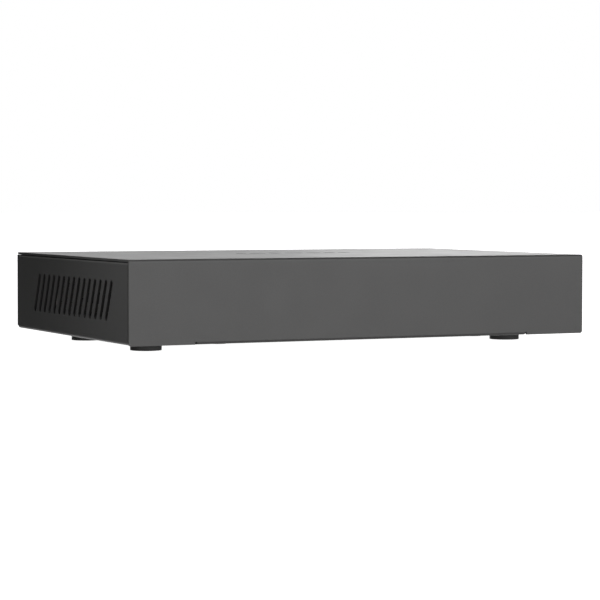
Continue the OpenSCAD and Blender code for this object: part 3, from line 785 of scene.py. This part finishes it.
# The strokes of each digit: points across and up from its middle, in halves of its height.
DIGIT_STROKES = {
    1: (((-0.35, 0.6), (0.0, 1.0), (0.0, -1.0)), ((-0.4, -1.0), (0.4, -1.0))),
    2: (((-0.5, 0.55), (-0.3, 0.95), (0.3, 0.95), (0.5, 0.5), (0.4, 0.1), (-0.5, -1.0), (0.55, -1.0)),),
    3: (((-0.5, 1.0), (0.5, 1.0), (0.0, 0.2), (0.45, 0.0), (0.5, -0.6), (0.2, -1.0), (-0.5, -0.85)),),
    4: (((0.25, -1.0), (0.25, 1.0), (-0.55, -0.4), (0.6, -0.4)),),
    5: (((0.5, 1.0), (-0.45, 1.0), (-0.5, 0.15), (0.25, 0.2), (0.5, -0.2), (0.4, -0.8), (0.0, -1.0),
         (-0.5, -0.85)),),
    6: (((0.4, 1.0), (-0.2, 0.6), (-0.5, -0.1), (-0.45, -0.75), (0.0, -1.0), (0.45, -0.75), (0.5, -0.2),
         (0.1, 0.1), (-0.45, -0.1)),),
    7: (((-0.55, 1.0), (0.5, 1.0), (-0.15, -1.0)),),
    8: (((0.0, 0.1), (-0.42, 0.4), (-0.42, 0.8), (0.0, 1.0), (0.42, 0.8), (0.42, 0.4), (0.0, 0.1),
         (-0.5, -0.3), (-0.5, -0.75), (0.0, -1.0), (0.5, -0.75), (0.5, -0.3), (0.0, 0.1)),),
}


def add_port_numbers():
    """The numbers 1 to 8 printed over the data ports, as seen from behind the switch."""
    tray_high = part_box("base_tray")[1]
    window_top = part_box("port_shield_left")[1].z
    middle_z = (window_top + tray_high.z) / 2 + 0.1 * MM
    half_h, stroke_w = 0.85 * MM, 0.24 * MM
    shape = Shape()
    for number, x in enumerate(sorted(port_middles(), reverse=True), start=1):
        for stroke in DIGIT_STROKES[number]:
            path = [(u * half_h, v * half_h) for u, v in stroke]
            shape.prism(thickened(path, stroke_w), (x, tray_high.y, middle_z), -X_AXIS, UP, Y_AXIS * INK)
    shape.piece("port_numbers", "print_ink")


# ---- the cover's mark -----------------------------------------------------------------

MARK_BARS = (3.6, 5.8, 4.6, 6.6, 5.4, 4.2, 4.4)     # lengths of the bars, in millimetres


def add_top_mark():
    """A plain row of printed bars, where the real cover has its printed mark."""
    cover_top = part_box("top_cover")[1].z
    mark_x, mark_y = 1.4 * MM, 4.5 * MM
    gap, bar_w = 1.2 * MM, 3.2 * MM
    total = sum(MARK_BARS) * MM + gap * (len(MARK_BARS) - 1)
    x = mark_x - total / 2
    shape = Shape()
    for length in MARK_BARS:
        outline = rounded_bar(length * MM, bar_w)
        shape.prism(outline, (x + length * MM / 2, mark_y, cover_top), X_AXIS, Y_AXIS, UP * INK)
        x += length * MM + gap
    shape.piece("top_mark", "mark_ink", body=BODY_COVER)


# ---- stage and lights -----------------------------------------------------------------

FLOOR_SIZE = 12.0


def add_floor():
    """A pale floor that runs into the white backdrop, and neither lights nor shades the object."""
    bpy.ops.mesh.primitive_plane_add(size=FLOOR_SIZE)
    floor = bpy.context.object
    floor.name = "studio_floor"
    paint = Paint("floor_paper", base=(0.9, 0.9, 0.9), rough=0.9)
    paint.set("Base Color", paint.mix(paint.noise(3), (0.88, 0.88, 0.88), (0.92, 0.92, 0.92)))
    paint.shader.inputs["Emission Color"].default_value = (1, 1, 1, 1)
    paint.shader.inputs["Emission Strength"].default_value = 1.0
    floor.data.materials.append(paint.material)
    floor.visible_diffuse = False
    floor.visible_glossy = False
    floor.visible_shadow = False


def add_area_light(name, place, target, width, height, power):
    """A rectangular lamp at a place, turned towards a target."""
    data = bpy.data.lights.new(name, "AREA")
    data.shape = "RECTANGLE"
    data.size = width
    data.size_y = height
    data.energy = power
    light = bpy.data.objects.new(name, data)
    light.location = place
    light.rotation_mode = "QUATERNION"
    light.rotation_quaternion = (Vector(target) - Vector(place)).to_track_quat("-Z", "Y")
    bpy.context.scene.collection.objects.link(light)
    return light


OBJECT_MIDDLE = Vector((0, 0, 0.014))
VENTED_SIDE = (-0.079, -0.075, 0.014)


def add_softboxes():
    """The lamps: three in front, one behind that gives no highlight, and a small one near the vents."""
    add_area_light("front_low", (0.5, -1.7, 0.0), OBJECT_MIDDLE, 1.4, 0.4, 6.3)
    add_area_light("front_softbox", (0.25, -1.5, 0.7), OBJECT_MIDDLE, 1.2, 0.8, 7.45)
    add_area_light("right_softbox", (0.9, -1.2, 0.5), OBJECT_MIDDLE, 0.6, 0.6, 3.1)
    back = add_area_light("back_softbox", (0.5, 1.3, 0.8), OBJECT_MIDDLE, 1.0, 0.8, 8)
    back.visible_glossy = False
    side = add_area_light("side_softbox", (-0.20, -0.045, 0.13), VENTED_SIDE, 0.06, 0.06, 0.0199)
    side.data.spread = math.radians(70)


# Each patch of the room's light: its strength, and the ramps that shape it. A ramp is a direction
# and the two cosines between which the patch fades in. The strengths of patches and lamps are
# rounded values that bring the tones of the case near those in the photo.
BACK_EDGE = math.radians(26.7)        # where the brighter half of the backdrop begins
BACKWARDS = (math.sin(BACK_EDGE), math.cos(BACK_EDGE), 0)
RIGHT_OF_EDGE = (math.cos(BACK_EDGE), -math.sin(BACK_EDGE), 0)
LEFT_OF_EDGE = (-math.cos(BACK_EDGE), math.sin(BACK_EDGE), 0)
ROOM_LIGHT = {
    "back_left": (1.88, [(BACKWARDS, 0.85, 0.97), (LEFT_OF_EDGE, -0.004, 0.004)]),
    "back_right": (3.85, [(BACKWARDS, 0.85, 0.97), (RIGHT_OF_EDGE, -0.004, 0.004)]),
    "back_high": (0.49, [((-0.1, 0.88, 0.46), 0.86, 0.97)]),
    "left_low": (0.51, [((-0.8, -0.55, -0.1), 0.86, 0.97)]),
    "below_back": (0.9, [((0.08, 0.85, -0.52), 0.8, 0.95)]),
    "below": (0.7, [((0, 0, -1), 0.6, 0.95)]),
}


def add_world():
    """White to the camera, and a soft room with brighter and darker patches to the object."""
    world = bpy.data.worlds.new("studio")
    bpy.context.scene.world = world
    world.use_nodes = True
    tree = world.node_tree
    tree.nodes.clear()
    output = tree.nodes.new("ShaderNodeOutputWorld")
    blend = tree.nodes.new("ShaderNodeMixShader")
    room = tree.nodes.new("ShaderNodeBackground")
    backdrop = tree.nodes.new("ShaderNodeBackground")
    backdrop.inputs["Color"].default_value = (1, 1, 1, 1)
    path = tree.nodes.new("ShaderNodeLightPath")
    direction = tree.nodes.new("ShaderNodeTexCoord").outputs["Generated"]
    total = None
    for name, (strength, ramps) in ROOM_LIGHT.items():
        value = tree.nodes.new("ShaderNodeValue")
        value.name = "patch:" + name
        value.outputs[0].default_value = strength
        patch = value.outputs[0]
        for towards, low, high in ramps:
            dot = tree.nodes.new("ShaderNodeVectorMath")
            dot.operation = "DOT_PRODUCT"
            tree.links.new(direction, dot.inputs[0])
            dot.inputs[1].default_value = towards
            ramp = tree.nodes.new("ShaderNodeMapRange")
            ramp.interpolation_type = "SMOOTHSTEP"
            tree.links.new(dot.outputs["Value"], ramp.inputs["Value"])
            ramp.inputs["From Min"].default_value = low
            ramp.inputs["From Max"].default_value = high
            times = tree.nodes.new("ShaderNodeMath")
            times.operation = "MULTIPLY"
            tree.links.new(patch, times.inputs[0])
            tree.links.new(ramp.outputs["Result"], times.inputs[1])
            patch = times.outputs[0]
        if total is not None:
            plus = tree.nodes.new("ShaderNodeMath")
            plus.operation = "ADD"
            tree.links.new(total, plus.inputs[0])
            tree.links.new(patch, plus.inputs[1])
            patch = plus.outputs[0]
        total = patch
    tree.links.new(total, room.inputs["Strength"])
    tree.links.new(path.outputs["Is Camera Ray"], blend.inputs[0])
    tree.links.new(room.outputs[0], blend.inputs[1])
    tree.links.new(backdrop.outputs[0], blend.inputs[2])
    tree.links.new(blend.outputs[0], output.inputs["Surface"])


# ---- assembly -------------------------------------------------------------------------

add_camera()
add_world()
add_floor()
add_softboxes()

materials = all_materials()
for subpart in frame["record"]["subparts"]:
    nodes[subpart["node"]].data.materials[0] = materials[subpart["material_slot"]].material

add_transformer_leads()
add_chip_leads()
add_regulator_leads()
for name, share in (("chip_capacitors", 0.24), ("chip_resistors", 0.2), ("inlet_fuse", 0.18)):
    add_end_caps(name, share)
for name in CAPACITORS:
    add_capacitor_lid(name)
add_inductor()
add_traces()
add_board_print()
add_screw_pads()
add_shield_springs()
add_shield_folds()
add_port_numbers()
add_top_mark()

bpy.context.scene.view_settings.view_transform = "Standard"
